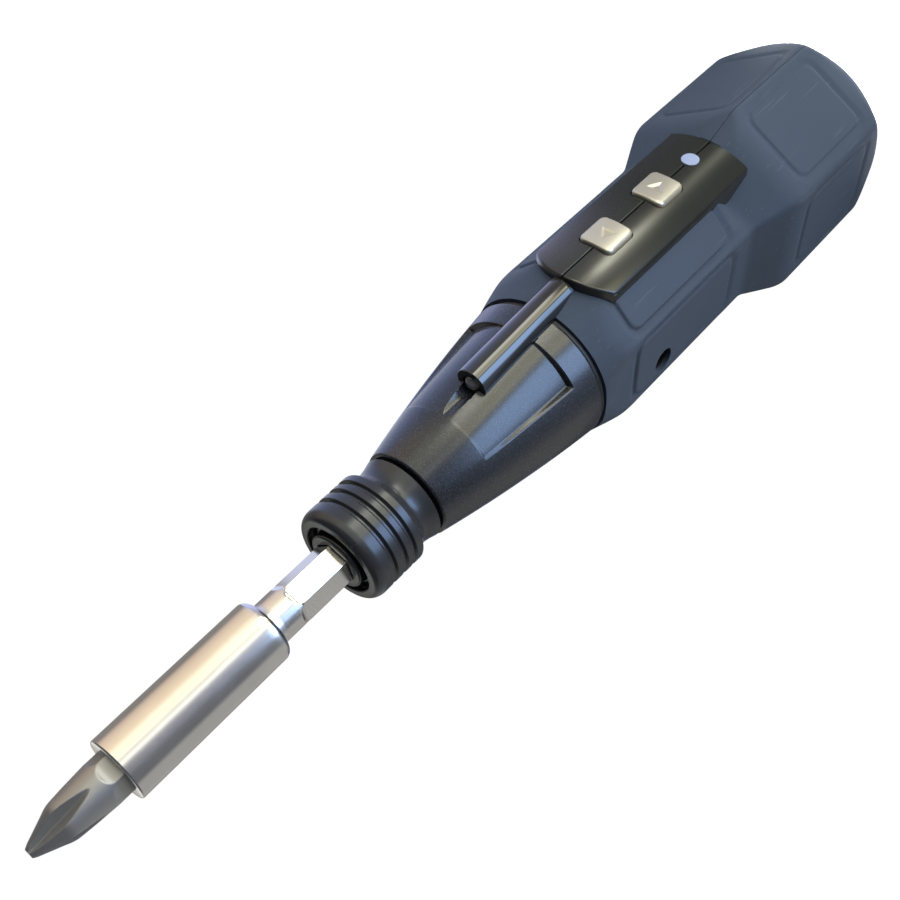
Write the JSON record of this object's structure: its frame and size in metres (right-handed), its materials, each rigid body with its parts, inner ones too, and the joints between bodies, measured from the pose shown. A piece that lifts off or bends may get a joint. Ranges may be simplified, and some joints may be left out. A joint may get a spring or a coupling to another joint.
{
  "type": "electric screwdriver",
  "caption": "Cordless hand screwdriver with a hexagonal grip, raised button panel, work lamp, planetary gearbox, quick-release hexagon chuck, magnetic bit holder and cross-head bit.",
  "frame": {"origin": "centre of the tail's flat end face, on the spindle axis", "axes": "+Z along the spindle towards the bit, -Y towards the buttons, the shells meet at X = 0"},
  "size_m": [0.0346, 0.0398, 0.1916],
  "materials": {
    "panel_plastic": "hard gloss plastic",
    "soft_grip": "matt soft-touch skin",
    "cone_plastic": "satin with a fine spark",
    "lamp_clear": "clear lamp",
    "button_silver": "satin silver",
    "lens_clear": "milky lens",
    "chip_yellow": "small lamp chip",
    "dark_steel": "blackened steel",
    "board_green": "circuit board",
    "switch_black": "moulded black plastic",
    "steel": "bright steel",
    "cell_wrap": "wrapped cell",
    "nickel": "polished nickel",
    "magnet_grey": "grey sintered metal",
    "winding_copper": "copper winding",
    "lead_red": "insulated wire",
    "brass": "sintered brass",
    "bit_steel": "gunmetal tool steel"
  },
  "bodies": {
    "housing": {"left_shell": "panel_plastic", "right_shell": "panel_plastic", "left_grip": "soft_grip", "right_grip": "soft_grip", "nose_cone": "cone_plastic", "lamp_tube": "cone_plastic", "lamp": "lamp_clear", "indicator_lens": "lens_clear", "indicator_chip": "chip_yellow", "housing_screws": "dark_steel", "circuit_board": "board_green", "tact_switches": "switch_black", "charging_socket": "steel", "charge_board": "board_green", "battery_cell": "cell_wrap", "battery_contacts": "nickel", "motor_can": "steel", "motor_end_cap": "switch_black", "motor_magnets": "magnet_grey", "motor_leads": "lead_red", "gear_plate": "steel", "ring_gear": "magnet_grey", "gearbox_cover": "steel", "thrust_washer": "brass", "spindle_bush": "brass"},
    "rotor": {"armature": "winding_copper", "motor_pinion": "brass"},
    "first_carrier": {"first_carrier": "steel"},
    "spindle": {"spindle": "dark_steel", "output_carrier": "steel", "lock_ball": "steel", "snap_ring": "steel", "spring_washer": "steel", "chuck_spring": "steel"},
    "chuck": {"chuck_sleeve": "dark_steel"},
    "holder": {"bit_holder": "nickel", "holder_magnet": "nickel"},
    "bit": {"screwdriver_bit": "bit_steel"},
    "forward_button": {"forward_button": "button_silver"},
    "reverse_button": {"reverse_button": "button_silver"},
    "first_planet_a": {"first_planet_a": "brass"},
    "first_planet_b": {"first_planet_b": "brass"},
    "first_planet_c": {"first_planet_c": "brass"},
    "second_planet_a": {"second_planet_a": "brass"},
    "second_planet_b": {"second_planet_b": "brass"},
    "second_planet_c": {"second_planet_c": "brass"}
  },
  "joints": [
    {"name": "motor_spin", "type": "hinge", "parent": "housing", "child": "rotor", "pos_m": [0, 0, 0.083], "axis": [0, 0, 1], "continuous": true},
    {"name": "first_carrier_spin", "type": "hinge", "parent": "housing", "child": "first_carrier", "pos_m": [0, 0, 0.1], "axis": [0, 0, 1], "continuous": true},
    {"name": "spindle_spin", "type": "hinge", "parent": "housing", "child": "spindle", "pos_m": [0, 0, 0.113], "axis": [0, 0, 1], "continuous": true},
    {"name": "first_planet_a_spin", "type": "hinge", "parent": "first_carrier", "child": "first_planet_a", "pos_m": [0.0045, 0, 0.0973], "axis": [0, 0, 1], "continuous": true},
    {"name": "first_planet_b_spin", "type": "hinge", "parent": "first_carrier", "child": "first_planet_b", "pos_m": [-0.00225, 0.0039, 0.0973], "axis": [0, 0, 1], "continuous": true},
    {"name": "first_planet_c_spin", "type": "hinge", "parent": "first_carrier", "child": "first_planet_c", "pos_m": [-0.00225, -0.0039, 0.0973], "axis": [0, 0, 1], "continuous": true},
    {"name": "second_planet_a_spin", "type": "hinge", "parent": "spindle", "child": "second_planet_a", "pos_m": [0.0045, 0, 0.1027], "axis": [0, 0, 1], "continuous": true},
    {"name": "second_planet_b_spin", "type": "hinge", "parent": "spindle", "child": "second_planet_b", "pos_m": [-0.00225, 0.0039, 0.1027], "axis": [0, 0, 1], "continuous": true},
    {"name": "second_planet_c_spin", "type": "hinge", "parent": "spindle", "child": "second_planet_c", "pos_m": [-0.00225, -0.0039, 0.1027], "axis": [0, 0, 1], "continuous": true},
    {"name": "chuck_slide", "type": "slide", "parent": "spindle", "child": "chuck", "axis": [0, 0, 1], "range_m": [0, 0.0025], "stiffness_N_per_m": 400, "springref_m": -0.003, "deforming": ["chuck_spring"]},
    {"name": "forward_press", "type": "slide", "parent": "housing", "child": "forward_button", "axis": [0, 1, 0], "range_m": [0, 0.0006], "stiffness_N_per_m": 1500, "springref_m": -0.0003},
    {"name": "reverse_press", "type": "slide", "parent": "housing", "child": "reverse_button", "axis": [0, 1, 0], "range_m": [0, 0.0006], "stiffness_N_per_m": 1500, "springref_m": -0.0003},
    {"name": "holder_pull", "type": "slide", "parent": "spindle", "child": "holder", "axis": [0, 0, 1], "range_m": [0, 0.025]},
    {"name": "bit_pull", "type": "slide", "parent": "holder", "child": "bit", "axis": [0, 0, 1], "range_m": [0, 0.012]}
  ],
  "couplings": [
    {"joint": "first_carrier_spin", "follows": "motor_spin", "ratio": 0.22222},
    {"joint": "spindle_spin", "follows": "motor_spin", "ratio": 0.049383},
    {"joint": "first_planet_a_spin", "follows": "motor_spin", "ratio": -0.62222},
    {"joint": "first_planet_b_spin", "follows": "motor_spin", "ratio": -0.62222},
    {"joint": "first_planet_c_spin", "follows": "motor_spin", "ratio": -0.62222},
    {"joint": "second_planet_a_spin", "follows": "motor_spin", "ratio": -0.13827},
    {"joint": "second_planet_b_spin", "follows": "motor_spin", "ratio": -0.13827},
    {"joint": "second_planet_c_spin", "follows": "motor_spin", "ratio": -0.13827}
  ]
}
